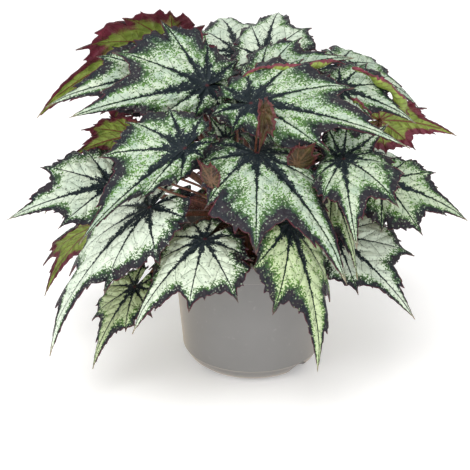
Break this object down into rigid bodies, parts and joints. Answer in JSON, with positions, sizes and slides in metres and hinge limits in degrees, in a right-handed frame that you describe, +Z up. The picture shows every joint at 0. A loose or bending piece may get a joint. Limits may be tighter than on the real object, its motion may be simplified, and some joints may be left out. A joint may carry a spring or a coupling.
{
  "type": "potted rex begonia",
  "caption": "Bushy rex begonia with long-pointed, toothed, drooping silver leaves on red stalks, in a plain round nursery pot.",
  "frame": {"origin": "middle of the pot's base, on the surface that the pot stands on", "axes": "+Z up, -Y towards the plant's front"},
  "size_m": [0.3201, 0.2797, 0.2471],
  "materials": {
    "pot": "warm grey, satin matte",
    "soil": "dark, crumbly, matte",
    "petiole": "red-brown, finely haired",
    "blade": "silver-mint with dark margins and veins, softly shiny"
  },
  "bodies": {
    "root": {"pot": "pot", "soil": "soil", "crown": "petiole", "leaf_01": "blade", "leaf_02": "blade", "leaf_03": "blade", "leaf_04": "blade", "leaf_05": "blade", "leaf_06": "blade", "leaf_07": "blade", "leaf_08": "blade", "leaf_09": "blade", "leaf_10": "blade", "leaf_11": "blade", "leaf_12": "blade", "leaf_13": "blade", "leaf_14": "blade", "leaf_15": "blade", "leaf_16": "blade", "leaf_17": "blade", "leaf_18": "blade", "leaf_19": "blade", "leaf_20": "blade", "leaf_21": "blade", "leaf_22": "blade", "leaf_23": "blade", "leaf_24": "blade", "leaf_25": "blade", "leaf_26": "blade", "leaf_27": "blade", "leaf_28": "blade", "leaf_29": "blade", "leaf_30": "blade", "leaf_31": "blade", "leaf_32": "blade", "leaf_33": "blade"}
  },
  "joints": []
}
